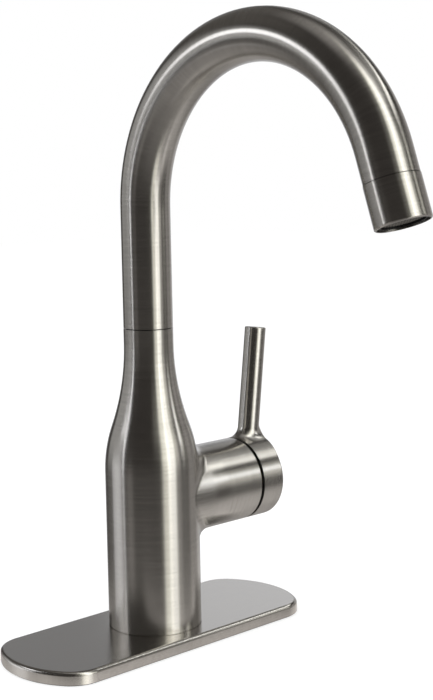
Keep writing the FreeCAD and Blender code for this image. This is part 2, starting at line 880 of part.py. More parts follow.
AERATOR_BORE = of("aerator_radius") - of("aerator_wall")
LEDGE_BORE = of("aerator_radius") - of("aerator_ledge_wall")
LEDGE = -of("aerator_ledge_depth")
FLANGE_TOP = LEDGE + of("insert_flange")
INSERT_OUT = LEDGE_BORE - of("aerator_gap")
INSERT_IN = INSERT_OUT - of("insert_wall")


def at_tip(made):
    """Puts a piece drawn with the seam at its origin and the tube along +Z on the end of the tube."""
    y, z = tip()
    made.Placement = App.Placement(Vector(), App.Rotation(Vector(-1, 0, 0), 1))
    made.setExpression("Placement.Rotation.Angle", (size(180) - of("arch_sweep")).text)
    made.setExpression("Placement.Base.y", y.text)
    made.setExpression("Placement.Base.z", z.text)
    doc.recompute()


def make_aerator_adapter():
    """Sleeve brazed in the tube's end, with the thread that takes the aerator."""
    plug = of("tube_radius") - of("tube_wall")
    depth, bore = of("adapter_depth"), plug - of("adapter_wall")
    out = AERATOR_BORE - of("aerator_gap")
    lower = [(-depth, bore), (-depth, out), (ZERO, out)]
    upper = [(ZERO, plug), (depth, plug), (depth, bore)]
    at_tip(turned("aerator_adapter", "Z", lower + upper))


def make_aerator_housing():
    """Outer sleeve with an inner ledge, a wide mouth, a rounded lip and a fine step at the seam."""
    end = -of("aerator_length")
    mouth = end + of("aerator_mouth_depth")
    mouth_out = of("aerator_radius") - of("aerator_mouth_wall")
    out = of("aerator_radius")
    step, step_in = -of("aerator_seam_height"), out - of("aerator_seam_depth")
    outline = [
        (end, mouth_out),
        (end, out),
        (step, out),
        (step, step_in),
        (ZERO, step_in),
        (ZERO, AERATOR_BORE),
        (LEDGE, AERATOR_BORE),
        (LEDGE, LEDGE_BORE),
        (mouth, LEDGE_BORE),
        (mouth, mouth_out),
    ]
    body = turned("aerator_housing", "Z", outline)

    def lip_edge(edge):
        return at_height(edge, end) and round_about(edge, "Z", out)

    dress(body, "Fillet", "aerator_lip", body.Tip, lip_edge, of("aerator_lip_round"))
    at_tip(body)


def make_aerator_insert():
    """Washer, insert with a drilled diffuser, and the woven screen in its mouth."""
    washer_in = of("tube_radius") - of("tube_wall") - of("adapter_wall")
    washer_out = AERATOR_BORE - of("aerator_gap")
    washer_length = -FLANGE_TOP - of("adapter_depth")
    at_tip(ring("aerator_washer", "Z", FLANGE_TOP, washer_length, washer_out, washer_in))
    low = -of("aerator_length") + of("insert_recess")
    top = FLANGE_TOP - of("diffuser_depth")
    under = top - of("diffuser_thickness")
    outline = [
        (low, INSERT_IN),
        (low, INSERT_OUT),
        (LEDGE, INSERT_OUT),
        (LEDGE, washer_out),
        (FLANGE_TOP, washer_out),
        (FLANGE_TOP, INSERT_IN),
        (top, INSERT_IN),
        (top, ZERO),
        (under, ZERO),
        (under, INSERT_IN),
    ]
    insert = turned("aerator_insert", "Z", outline)
    hole = new_sketch(insert, "XY", "diffuser_hole", top)
    circle(hole, of("diffuser_hole_radius"), of("diffuser_ring_radius"))
    drilled = pocket(insert, "diffuser_bore", hole, of("diffuser_thickness"))
    repeat(insert, "diffuser_holes", drilled, DIFFUSER_HOLES)
    at_tip(insert)
    make_screen(low + of("screen_recess"))


def make_screen(low):
    """Woven screen: a disc with a square opening in every mesh that lies wholly inside its rim."""
    radius = (INSERT_IN - of("aerator_gap") / 2).value
    pitch, wire = SIZES["screen_pitch"], SIZES["screen_wire"]
    half = (pitch - wire) / 2
    reach = int(radius / pitch) + 1
    wires = [Part.Wire(Part.makeCircle(radius, Vector(0, 0, low.value)))]
    for i in range(-reach, reach + 1):
        for j in range(-reach, reach + 1):
            if math.hypot(abs(i) * pitch + half, abs(j) * pitch + half) < radius - wire:
                corner = Vector(i * pitch - half, j * pitch - half, low.value)
                wires.append(Part.makePlane(2 * half, 2 * half, corner).OuterWire)
    screen = doc.addObject("Part::Feature", "aerator_screen")
    screen.Label = "aerator_screen"
    face = Part.Face(wires, "Part::FaceMakerBullseye")
    screen.Shape = face.extrude(Vector(0, 0, SIZES["screen_thickness"]))
    BODIES["aerator_screen"] = screen
    at_tip(screen)


# ------------------------------------------------------------ cartridge

SHELL_BORE = of("cartridge_radius") - of("cartridge_wall")


def ports():
    """Radius, Y and Z of the two inlet ports and the outlet port, seen from the valve's axis."""
    inlets = [(of("inlet_radius"), of("inlet_spread") * side, of("inlet_rise")) for side in (1, -1)]
    return inlets + [(of("outlet_radius"), ZERO, -of("outlet_drop"))]


def make_port_seals():
    """Three rubber rings between the cartridge and its seat."""
    section = of("port_seal_section")
    middle = SEAT + section + of("port_seal_gap")
    rings = [(of("port_seal_radius"), section, middle, y, AXIS + z) for _, y, z in ports()]
    seal_group("port_seals", rings, (Vector(0, 1, 0), 90))


def make_cartridge_base():
    """Moulded base with three ports and a seal recess round each."""
    seat = SEAT
    thickness = of("cartridge_base_thickness")
    body = ring("cartridge_base", "X", seat, thickness, of("cartridge_radius"), height=AXIS)
    holes = new_sketch(body, "YZ", "base_ports", BASE_END)
    recesses = new_sketch(body, "YZ", "base_recesses", seat)
    room = of("port_seal_section") + of("port_seal_gap")
    for radius, y, z in ports():
        circle(holes, radius, y, z)
        circle(recesses, of("port_seal_radius") + room, y, z)
    pocket(body, "base_port_bores", holes, thickness)
    pocket(body, "base_seal_seats", recesses, room * 2, reverse=True)


def make_discs():
    """Fixed ceramic disc with the ports, moving disc with its mixing hollow, and the driver on its back."""
    thickness, driven = of("disc_thickness"), of("moving_disc_radius")
    fixed = ring("fixed_disc", "X", BASE_END, thickness, SHELL_BORE - of("fixed_disc_gap"), height=AXIS)
    holes = new_sketch(fixed, "YZ", "disc_ports", FIXED_END)
    for radius, y, z in ports():
        circle(holes, radius, y, z)
    pocket(fixed, "disc_port_bores", holes, thickness)
    moving = ring("moving_disc", "X", MOVING_START, thickness, driven, height=AXIS)
    hollow = new_sketch(moving, "YZ", "mixing_outline", MOVING_START)
    wide, narrow = of("mixing_half_width"), of("mixing_half_waist")
    top, shelf, low = of("mixing_rise"), -of("mixing_shelf_drop"), -of("mixing_drop")
    draw(hollow, [(-narrow, low), (narrow, low), (wide, shelf), (wide, top), (-wide, top), (-wide, shelf)])
    pocket(moving, "mixing_hollow", hollow, of("mixing_depth"), reverse=True)
    eye = of("driver_eye_radius")
    ring("disc_driver", "X", MOVING_END, of("driver_thickness"), driven, eye, AXIS)


def make_cartridge_housing():
    """Cup over the discs and the carrier; the carrier's neck turns in its front hole."""
    out, inner = of("cartridge_radius"), SHELL_BORE
    wall = outwards("carrier_front") + of("carrier_gap")
    neck = of("carrier_neck_radius") + of("carrier_gap")
    front = outwards("cartridge_front")
    outline = [(BASE_END, inner), (BASE_END, out), (front, out), (front, neck), (wall, neck), (wall, inner)]
    turned("cartridge_housing", "X", outline, AXIS)


def make_carrier():
    """Turning piece of the valve, slotted for the stem, with the pin that the stem tilts on."""
    rear = CARRIER_REAR
    out, neck = SHELL_BORE - of("carrier_gap"), of("carrier_neck_radius")
    front, end = outwards("carrier_front"), outwards("carrier_neck_end")
    outline = [(rear, ZERO), (rear, out), (front, out), (front, neck), (end, neck), (end, ZERO)]
    body = turned("stem_carrier", "X", outline, AXIS)
    half = of("stem_width") / 2 + of("slot_gap")
    slot = new_sketch(body, "YZ", "slot_outline", end)
    oblong(slot, -half, half, -of("slot_down"), of("slot_up"))
    pocket(body, "stem_slot", slot, end - rear)
    hole = circle(new_sketch(body, "XZ", "pin_hole", -out), of("pin_radius"), of("pivot_depth"))
    pocket(body, "pin_bore", hole, out * 2, reverse=True)
    pin = new_body("pivot_pin", AXIS)
    reach = of("pin_half_length")
    section = circle(new_sketch(pin, "XZ", "pin_section", -reach), of("pin_radius"), of("pivot_depth"))
    pad(pin, "pin_rod", section, reach * 2)


def make_stem():
    """Stem: a ball that moves the disc, a neck, and a square bar that the handle sits on."""
    ball = of("pivot_depth") - of("ball_arm")
    radius, neck = of("ball_radius"), of("ball_neck_radius")
    bar = of("pivot_depth") - of("bar_rear_reach")
    outline = [
        (ball - radius, ZERO, -radius),
        (ball, radius, -radius),
        (ball + leg(radius, neck), neck),
        (bar, neck),
        (bar, ZERO),
    ]
    body = turned("stem", "X", outline, AXIS)
    half = of("stem_width") / 2
    square = oblong(new_sketch(body, "YZ", "bar_section", bar), -half, half, -half, half)
    pad(body, "stem_bar", square, outwards("stem_end") - bar)
    eye = of("pin_radius") + of("pin_gap")
    hole = circle(new_sketch(body, "XZ", "stem_eye", -half), eye, of("pivot_depth"))
    pocket(body, "stem_pin_bore", hole, half * 2, reverse=True)


def make_cartridge_nut():
    """Threaded ring that holds the cartridge down, with a slot across its face for a spanner."""
    start, length = outwards("cartridge_front"), of("cartridge_nut_length")
    out = of("valve_bore_radius") - of("cartridge_nut_gap")
    body = ring("cartridge_nut", "X", start, length, out, of("cartridge_nut_bore"), AXIS)
    half = of("spanner_slot_width") / 2
    slot = oblong(new_sketch(body, "YZ", "spanner_slot", start + length), -half, half, -FAR, FAR)
    pocket(body, "spanner_slot_cut", slot, of("spanner_slot_depth"))


def make_dome_cover():
    """Black cover in the valve's mouth, round about the point that the handle tilts on."""
    pivot, mouth = of("pivot_depth"), outwards("branch_end")
    out, inner = of("dome_radius"), of("dome_radius") - of("dome_wall")
    hole, foot = of("dome_hole_radius"), of("dome_foot_radius")
    spigot = of("valve_bore_radius") - of("cartridge_nut_gap")
    start = outwards("cartridge_front") + of("cartridge_nut_length")
    outline = [
        (start, foot),
        (start, spigot),
        (mouth, spigot),
        (mouth, leg(out, mouth - pivot), -out),
        (pivot + leg(out, hole), hole),
        (pivot + leg(inner, hole), hole, inner),
        (pivot + leg(inner, foot), foot),
    ]
    turned("dome_cover", "X", outline, AXIS)


# ------------------------------------------------------------ handle


def add_lever(body):
    """Round lever that leans outwards, flared where it meets the cap."""
    sketch = new_sketch(body, "XY", "lever_section")
    lean, foot, start = of("lever_lean"), outwards("lever_foot"), of("lever_root")
    sketch.AttachmentOffset = App.Placement(Vector(), App.Rotation(Vector(0, 1, 0), lean.value))
    sketch.setExpression("AttachmentOffset.Rotation.Angle", lean.text)
    sketch.setExpression("AttachmentOffset.Base.x", (foot + start * sine(lean)).text)
    sketch.setExpression("AttachmentOffset.Base.z", (start * cosine(lean)).text)
    circle(sketch, of("lever_radius"))
    lever = pad(body, "lever", sketch, of("lever_length") - start)
    line = Vector(sine(lean).value, 0, cosine(lean).value)
    origin = Vector(foot.value, 0, 0)

    def root_line(edge):
        points = edge.discretize(7)
        reach = [(p - origin).cross(line).Length for p in points]
        on_lever = all(abs(r - of("lever_radius").value) < 1e-2 for r in reach)
        return on_lever and round_about(edge, "X", of("cap_radius"))

    def top_edge(edge):
        rise = [(p - origin).dot(line) for p in edge.discretize(5)]
        return all(abs(r - of("lever_length").value) < 1e-4 for r in rise)

    flared = dress(body, "Fillet", "lever_flare", lever, root_line, of("lever_flare"))
    return dress(body, "Fillet", "lever_top", flared, top_edge, of("lever_top_round"))


def trim_cap(body):
    """Cuts the cap square behind, flat in front, and along the lever's front line above."""
    lean = of("lever_lean")
    rise = sine(lean) / cosine(lean)
    front = outwards("lever_foot") + (of("lever_radius") + of("lever_trim")) / cosine(lean)
    end, beyond = outwards("cap_end"), FAR * 2
    kink = (end - front) / rise
    sketch = new_sketch(body, "XZ", "cap_trim", FAR)
    ahead = [(end, -FAR), (beyond, -FAR), (beyond, beyond), (front + beyond * rise, beyond), (end, kink)]
    draw(sketch, ahead)
    oblong(sketch, OVERRUN, outwards("cap_start"), -FAR, beyond)
    return pocket(body, "cap_faces", sketch, FAR * 2)


def make_handle():
    """One casting: a cap hollowed round the dome, a lever, a square socket and a hole for the screw."""
    start, end, out = outwards("cap_start"), outwards("cap_end"), of("cap_radius")
    body = new_body("handle", AXIS)
    blank = circle(new_sketch(body, "YZ", "cap_section", start - out), out)
    pad(body, "cap_blank", blank, end - start + out * 2)
    add_lever(body)
    trimmed = trim_cap(body)

    def front_edge(edge):
        return at_depth(edge, end) and round_about(edge, "X", out)

    dress(body, "Fillet", "cap_front_edge", trimmed, front_edge, of("cap_edge_round"))
    pivot, bowl = of("pivot_depth"), of("dome_radius") + of("cap_bowl_gap")
    behind = start - OVERRUN
    outline = [(behind, ZERO), (pivot + bowl, ZERO, bowl), (behind, leg(bowl, behind - pivot))]
    cut_turning(body, "cap_bowl", "X", outline)
    half = of("stem_width") / 2 + of("screw_gap")
    socket = oblong(new_sketch(body, "YZ", "socket_outline", outwards("stem_end")), -half, half, -half, half)
    pocket(body, "stem_socket", socket, outwards("stem_end") - start)
    below = out + OVERRUN
    hole = new_sketch(body, "XY", "screw_hole", -below)
    circle(hole, of("screw_radius") + of("screw_gap"), outwards("screw_depth"))
    pocket(body, "screw_bore", hole, below, reverse=True)


def make_handle_screw():
    """Grub screw with a hexagon socket, which grips the stem from below."""
    body = new_body("handle_screw", AXIS)
    grip = -of("stem_width") / 2
    low = grip - of("screw_length")
    section = circle(new_sketch(body, "XY", "screw_section", low), of("screw_radius"), outwards("screw_depth"))
    pad(body, "screw_blank", section, of("screw_length"))
    key = hexagon(new_sketch(body, "XY", "screw_key", low), of("screw_key"), outwards("screw_depth"))
    pocket(body, "screw_socket", key, of("screw_length") / 3, reverse=True)


# ------------------------------------------------------------ build


def export_parts():
    """Checks the document and every piece, then writes one file for each."""
    doc.recompute()
    failed = [made.Name for made in doc.Objects if "Invalid" in made.State or "Error" in made.State]
    if failed:
        raise RuntimeError("failed features: " + ", ".join(failed))
    for label, made in BODIES.items():
        if made.Shape.isNull() or not made.Shape.isValid():
            raise RuntimeError("bad shape: " + label)
    os.makedirs("parts", exist_ok=True)
    for label, made in BODIES.items():
        made.Shape.exportStep(f"parts/{label}.step")
        print(f"{label:20s} {len(made.Shape.Solids)} solid(s) {made.Shape.Volume / 1000:8.2f} cm3")


make_deck_plate()
make_deck_plate_base()
make_deck_gasket()
make_faucet_body()
make_body_seal()
make_mounting()
make_spout_shank()
make_spout_seals()
make_clip()
make_glide_ring()
make_spout_tube()
make_aerator_adapter()
make_aerator_housing()
make_aerator_insert()
make_port_seals()
make_cartridge_base()
make_discs()
make_cartridge_housing()
make_carrier()
make_stem()
make_cartridge_nut()
make_dome_cover()
make_handle()
make_handle_screw()
export_parts()
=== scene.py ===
"""Looks of a gooseneck bar faucet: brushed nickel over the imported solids, with its trim, light and camera.

Metres. +Z is up, the spout points along -Y and the valve branch along +X. The origin lies on the body's axis,
on the deck.
"""
import math

import bmesh
import bpy
import numpy as np
from mathutils import Matrix, Vector


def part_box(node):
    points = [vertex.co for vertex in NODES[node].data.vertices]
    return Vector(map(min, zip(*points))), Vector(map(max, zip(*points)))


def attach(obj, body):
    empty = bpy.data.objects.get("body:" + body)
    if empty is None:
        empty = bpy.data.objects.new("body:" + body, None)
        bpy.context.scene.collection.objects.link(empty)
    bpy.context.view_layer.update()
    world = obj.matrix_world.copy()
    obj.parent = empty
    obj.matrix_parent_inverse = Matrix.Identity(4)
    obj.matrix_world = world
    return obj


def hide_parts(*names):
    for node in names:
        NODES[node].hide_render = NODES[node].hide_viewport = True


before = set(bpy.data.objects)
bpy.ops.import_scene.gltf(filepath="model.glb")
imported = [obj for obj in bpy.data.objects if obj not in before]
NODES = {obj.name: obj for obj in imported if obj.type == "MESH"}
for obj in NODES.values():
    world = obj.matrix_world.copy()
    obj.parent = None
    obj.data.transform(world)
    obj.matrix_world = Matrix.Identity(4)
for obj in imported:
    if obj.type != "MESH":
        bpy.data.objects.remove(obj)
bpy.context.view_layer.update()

bl_info = {
    "name": "Gooseneck bar faucet",
    "version": (1, 0, 0),
    "blender": (4, 5, 0),
    "location": "View3D > Sidebar > Faucet",
    "description": "Finishes, fine pieces and stage of a gooseneck bar faucet",
    "category": "Object",
}

MM = 0.001

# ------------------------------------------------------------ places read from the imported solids


def node_span(name, axis):
    """Lowest and highest place of a node along X, Y or Z."""
    low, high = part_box(name)
    return low["XYZ".index(axis)], high["XYZ".index(axis)]


TUBE_RADIUS = node_span("spout_tube", "X")[1]
TUBE_TOP = node_span("spout_tube", "Z")[1]
VALVE_HEIGHT = sum(node_span("cartridge_nut", "Z")) / 2
BODY_RADIUS = node_span("faucet_body", "Y")[1]
SHANK_LOW, SHANK_HIGH = node_span("mounting_shank", "Z")
SHANK_RADIUS = node_span("mounting_shank", "X")[1]

# Sizes that no box of a node gives, repeated from the solids.
ARCH_RADIUS = 80.5 * MM
ARCH_HEIGHT = TUBE_TOP - TUBE_RADIUS - ARCH_RADIUS
ARCH_SWEEP = math.radians(161.9)
TIP_LEAN = math.pi - ARCH_SWEEP  # of the tube's end, from upright
TIP_LENGTH = 12.6 * MM
SEAM_HEIGHT = 0.35 * MM  # of the step between the tube and the aerator
SHANK_BORE = 13.2 * MM
CAP_RADIUS = 22 * MM
LEVER_LEAN = math.radians(7.2)
PLATE_CORE = 54 * MM  # half of the deck plate's middle line, which its round ends are drawn about

# ------------------------------------------------------------ settings


def srgb(text):
    """Linear colour of an sRGB hex value."""
    channels = [int(text[i : i + 2], 16) / 255 for i in (1, 3, 5)]
    return tuple(c / 12.92 if c <= 0.04045 else ((c + 0.055) / 1.055) ** 2.4 for c in channels)


class FaucetLooks(bpy.types.PropertyGroup):
    """Colours and sizes of the finishes and fine pieces."""

    nickel: bpy.props.FloatVectorProperty(
        name="Nickel", description="Colour of the brushed nickel", subtype="COLOR", default=srgb("#CBC8C3")
    )
    nickel_roughness: bpy.props.FloatProperty(
        name="Nickel roughness",
        description="How far the brushing spreads a reflection",
        default=0.25,
        min=0,
        max=1,
    )
    nickel_brushing: bpy.props.FloatProperty(
        name="Brushing", description="How much further it spreads across the grain", default=0.8, min=0, max=1
    )
    grain_pitch: bpy.props.FloatProperty(
        name="Grain pitch", description="Distance between scratches", unit="LENGTH", default=0.7 * MM
    )
    grain_length: bpy.props.FloatProperty(
        name="Grain length", description="Length of one scratch", unit="LENGTH", default=24 * MM
    )
    thread_pitch: bpy.props.FloatProperty(
        name="Thread pitch", description="Pitch of the shank's thread", unit="LENGTH", default=1.5 * MM
    )
    screen_pitch: bpy.props.FloatProperty(
        name="Screen pitch",
        description="Distance between the screen's wires",
        unit="LENGTH",
        default=0.9 * MM,
    )
    screen_wire: bpy.props.FloatProperty(
        name="Screen wire", description="Diameter of the screen's wires", unit="LENGTH", default=0.3 * MM
    )


class FaucetStage(bpy.types.PropertyGroup):
    """Place and lens of the camera."""

    azimuth: bpy.props.FloatProperty(
        name="Azimuth",
        description="Way the camera looks, from +Y towards +X",
        subtype="ANGLE",
        default=math.radians(43.46),
    )
    pitch: bpy.props.FloatProperty(
        name="Pitch", description="How far the camera looks down", subtype="ANGLE", default=math.radians(4.62)
    )
    roll: bpy.props.FloatProperty(
        name="Roll",
        description="Camera's turn about its own axis",
        subtype="ANGLE",
        default=math.radians(-1.18),
    )
    distance: bpy.props.FloatProperty(
        name="Distance", description="From the camera to the body's axis", unit="LENGTH", default=720.3 * MM
    )
    side: bpy.props.FloatProperty(
        name="Side",
        description="Camera's place to the right of the body's axis",
        unit="LENGTH",
        default=35.4 * MM,
    )
    height: bpy.props.FloatProperty(
        name="Height", description="Camera's height above the deck", unit="LENGTH", default=244.2 * MM
    )
    lens: bpy.props.FloatProperty(
        name="Lens", description="Focal length on a 36 mm film, in mm", default=72.9
    )
    shift: bpy.props.FloatProperty(name="Shift", description="Vertical shift of the lens", default=-0.1063)


# ------------------------------------------------------------ material tools

# Places of the Mix node's vector sockets, whose names repeat.
MIX_FACTOR, MIX_FIRST, MIX_SECOND, MIX_RESULT = 0, 4, 5, 1


def add_node(tree, kind, inputs=None, **settings):
    """Adds a node with its settings.

    inputs maps a socket's name, or its place where names repeat, to a value or to a socket to link.
    """
    made = tree.nodes.new(kind)
    for name, value in settings.items():
        setattr(made, name, value)
    for key, value in (inputs or {}).items():
        if isinstance(value, bpy.types.NodeSocket):
            tree.links.new(value, made.inputs[key])
        else:
            made.inputs[key].default_value = value
    return made


def new_material(name):
    """An empty node material, its tree, its output and the piece's own coordinates."""
    material = bpy.data.materials.new(name)
    material.use_nodes = True
    tree = material.node_tree
    tree.nodes.clear()
    output = add_node(tree, "ShaderNodeOutputMaterial")
    place = add_node(tree, "ShaderNodeTexCoord").outputs["Object"]
    return material, tree, output, place


def dress(material, *names):
    """Puts the material on CAD nodes."""
    for name in names:
        mesh = NODES[name].data
        mesh.materials.clear()
        mesh.materials.append(material)


# ------------------------------------------------------------ brushed nickel

# Nickel plate brushed with an abrasive belt. The eye gets a warm grey mirror that is blurred most across the
# scratches, so each light is drawn out into a soft band, with hair lines of a paler and a darker tone in it.
# Real scratches lie 0.05 to 0.1 mm apart, too fine to show from the camera, so the grain pitch is coarser.
FINE_SHARE = 0.8  # of the tone; broad patches of wear make up the rest
PATCH_SCALE = 0.09  # of the patches, where that of the scratches is 1
GRAIN_LOW, GRAIN_HIGH = 0.3, 0.7  # where the noise is darkest and palest
DARKER, PALER = 0.12, 0.08  # how far the tone goes either way
ROUGHNESS_SWING = 0.015


def finish_nickel(parts, grain, across, looks, blur=0.0, streaks=1.0, turning=None, shade=None):
    """Brushed nickel plate.

    grain is a vector that runs fast across the scratches and slowly along them, so noise on it is drawn out
    into streaks. across is the direction across the scratches. Where turning, between 0 and 1, leads the
    grain from one way to another, reflections are spread evenly instead: the brushing falls as turning times
    (1 - turning) rises to a quarter. shade scales the tone.
    """
    material, tree, output, _ = parts
    fine = add_node(
        tree, "ShaderNodeTexNoise", {"Vector": grain, "Scale": 1.0, "Detail": 3.0, "Roughness": 0.65}
    ).outputs["Fac"]
    patches = add_node(
        tree, "ShaderNodeTexNoise", {"Vector": grain, "Scale": PATCH_SCALE, "Detail": 2.0, "Roughness": 0.5}
    ).outputs["Fac"]
    wear = add_node(
        tree, "ShaderNodeMath", {0: patches, 1: 1 - FINE_SHARE}, operation="MULTIPLY"
    ).outputs[0]
    blend = add_node(
        tree, "ShaderNodeMath", {0: fine, 1: FINE_SHARE, 2: wear}, operation="MULTIPLY_ADD"
    ).outputs[0]
    ramp = add_node(tree, "ShaderNodeValToRGB", {"Fac": blend})
    ramp.color_ramp.elements[0].position = GRAIN_LOW
    ramp.color_ramp.elements[0].color = (*((1 - DARKER * streaks) * c for c in looks.nickel), 1)
    ramp.color_ramp.elements[1].position = GRAIN_HIGH
    ramp.color_ramp.elements[1].color = (*((1 + PALER * streaks) * c for c in looks.nickel), 1)
    tone = ramp.outputs["Color"]
    # Painted shade, where given, darkens the tone.
    if shade is not None:
        tone = add_node(tree, "ShaderNodeVectorMath", {0: tone, "Scale": shade}, operation="SCALE").outputs[0]
    roughness = looks.nickel_roughness + blur
    rough = add_node(
        tree,
        "ShaderNodeMapRange",
        {
            "Value": blend,
            "From Min": GRAIN_LOW,
            "From Max": GRAIN_HIGH,
            "To Min": roughness - ROUGHNESS_SWING,
            "To Max": roughness + ROUGHNESS_SWING,
        },
    ).outputs["Result"]
    bump = add_node(tree, "ShaderNodeBump", {"Strength": 0.06, "Distance": 0.02 * MM, "Height": fine})
    brushing = looks.nickel_brushing
    if turning is not None:
        leftover = add_node(tree, "ShaderNodeMath", {0: 1.0, 1: turning}, operation="SUBTRACT").outputs[0]
        mixed = add_node(tree, "ShaderNodeMath", {0: turning, 1: leftover}, operation="MULTIPLY").outputs[0]
        brushing = add_node(
            tree,
            "ShaderNodeMapRange",
            {"Value": mixed, "From Max": 0.25, "To Min": looks.nickel_brushing, "To Max": 0.0},
        ).outputs["Result"]
    shader = add_node(
        tree,
        "ShaderNodeBsdfPrincipled",
        {
            "Base Color": tone,
            "Metallic": 1.0,
            "Roughness": rough,
            "Anisotropic": brushing,
            "Tangent": across,
            "Normal": bump.outputs["Normal"],
        },
    )
    tree.links.new(shader.outputs["BSDF"], output.inputs["Surface"])
    return material


def grain_vector(tree, place, looks, axis):
    """The place over the grain's pitch along that axis and over its length along the others."""
    along = 1 / looks.grain_length
    scale = [along, along, along]
    scale["XYZ".index(axis)] = 1 / looks.grain_pitch
    return add_node(tree, "ShaderNodeVectorMath", {0: place, 1: scale}, operation="MULTIPLY").outputs[0]


def blended(tree, share, first, second):
    """The first vector where share is 0, the second where it is 1."""
    return add_node(
        tree,
        "ShaderNodeMix",
        {MIX_FACTOR: share, MIX_FIRST: first, MIX_SECOND: second},
        data_type="VECTOR",
    ).outputs[MIX_RESULT]


def smooth_share(tree, value, start, end):
    """0 at start and beyond it, 1 at end and beyond it, with a smooth step between them."""
    return add_node(
        tree,
        "ShaderNodeMapRange",
        {"Value": value, "From Min": start, "From Max": end},
        interpolation_type="SMOOTHSTEP",
    ).outputs["Result"]


def plate_nickel(looks):
    """Nickel brushed along the deck plate, finer and shinier than the round pieces."""
    parts = new_material("nickel_plate_brushed_along_deck_plate")
    _, tree, _, place = parts
    across = add_node(tree, "ShaderNodeCombineXYZ", {"Y": 1.0}).outputs[0]
    return finish_nickel(parts, grain_vector(tree, place, looks, "Y"), across, looks, blur=-0.05, streaks=0.4)


def body_nickel(looks):
    """Nickel brushed round the bottle's axis, and round the branch's axis beyond the fillet."""
    parts = new_material("nickel_plate_brushed_round_body_and_branch")
    _, tree, _, place = parts
    x = add_node(tree, "ShaderNodeSeparateXYZ", {0: place}).outputs["X"]
    on_branch = smooth_share(tree, x, BODY_RADIUS - 1 * MM, BODY_RADIUS + 13 * MM)
    on_body_grain, on_branch_grain = (grain_vector(tree, place, looks, axis) for axis in "ZX")
    grain = blended(tree, on_branch, on_body_grain, on_branch_grain)
    across = blended(tree, on_branch, (0, 0, 1), (1, 0, 0))
    return finish_nickel(parts, grain, across, looks, turning=on_branch)


def tube_nickel(looks):
    """Nickel brushed round the bent tube.

    The way along the tube is its height below the arch, and above it the arch's radius times the angle of the
    point about the arch's centre. The direction across the scratches is the tube's own, square to the spoke
    from the arch's centre.
    """
    parts = new_material("nickel_plate_brushed_round_tube")
    _, tree, _, place = parts
    centre = (0, -ARCH_RADIUS, ARCH_HEIGHT)
    from_centre = add_node(
        tree, "ShaderNodeVectorMath", {0: place, 1: centre}, operation="SUBTRACT"
    ).outputs[0]
    offset = add_node(tree, "ShaderNodeSeparateXYZ", {0: from_centre})
    x, y, z = (offset.outputs[letter] for letter in "XYZ")
    above = add_node(tree, "ShaderNodeMath", {0: z, 1: 0.0}, operation="MAXIMUM").outputs[0]
    below = add_node(tree, "ShaderNodeMath", {0: z, 1: 0.0}, operation="MINIMUM").outputs[0]
    spoke = add_node(tree, "ShaderNodeCombineXYZ", {"Y": y, "Z": above}).outputs[0]
    angle = add_node(tree, "ShaderNodeMath", {0: above, 1: y}, operation="ARCTAN2").outputs[0]
    along = add_node(
        tree, "ShaderNodeMath", {0: angle, 1: ARCH_RADIUS, 2: below}, operation="MULTIPLY_ADD"
    ).outputs[0]
    reach = add_node(tree, "ShaderNodeVectorMath", {0: spoke}, operation="LENGTH").outputs["Value"]
    unrolled = add_node(tree, "ShaderNodeCombineXYZ", {"X": x, "Y": reach, "Z": along}).outputs[0]
    across = add_node(
        tree, "ShaderNodeVectorMath", {0: (1, 0, 0), 1: spoke}, operation="CROSS_PRODUCT"
    ).outputs[0]
    unit = add_node(tree, "ShaderNodeVectorMath", {0: across}, operation="NORMALIZE").outputs[0]
    return finish_nickel(parts, grain_vector(tree, unrolled, looks, "Z"), unit, looks)


def tip_place(points):
    """Points drawn about the tube's end, with the tube along +Z, moved to where that end is."""
    end_y = ARCH_RADIUS * (math.cos(ARCH_SWEEP) - 1) - TIP_LENGTH * math.sin(ARCH_SWEEP)
    end_z = ARCH_HEIGHT + ARCH_RADIUS * math.sin(ARCH_SWEEP) + TIP_LENGTH * math.cos(ARCH_SWEEP)
    x, y, z = points[..., 0], points[..., 1], points[..., 2]
    turned_y = y * math.cos(TIP_LEAN) + z * math.sin(TIP_LEAN)
    turned_z = z * math.cos(TIP_LEAN) - y * math.sin(TIP_LEAN)
    return np.stack([x, end_y + turned_y, end_z + turned_z], axis=-1)


def tip_nickel(looks):
    """Nickel brushed round the aerator, whose axis leans as the tube's end does, with painted shade in its
    seam.
    """
    parts = new_material("nickel_plate_brushed_round_aerator")
    _, tree, _, place = parts
    turned = add_node(
        tree, "ShaderNodeMapping", {"Vector": place, "Rotation": (TIP_LEAN, 0, 0)}, vector_type="POINT"
    ).outputs[0]
    axis = (0.0, math.sin(TIP_LEAN), math.cos(TIP_LEAN))
    across = add_node(tree, "ShaderNodeCombineXYZ", dict(enumerate(axis))).outputs[0]
    along = add_node(
        tree, "ShaderNodeVectorMath", {0: place, 1: axis}, operation="DOT_PRODUCT"
    ).outputs["Value"]
    # The step of the seam is too narrow to hold back enough light, so painted shade draws the metal in it
    # nearly black.
    seam = float(np.dot(tip_place(np.array([0, 0, -SEAM_HEIGHT])), axis))
    seam_edge = 0.04 * MM
    shade = add_node(
        tree,
        "ShaderNodeMapRange",
        {"Value": along, "From Min": seam - seam_edge, "From Max": seam, "To Min": 1.0, "To Max": 0.04},
    ).outputs["Result"]
    return finish_nickel(parts, grain_vector(tree, turned, looks, "Z"), across, looks, shade=shade)


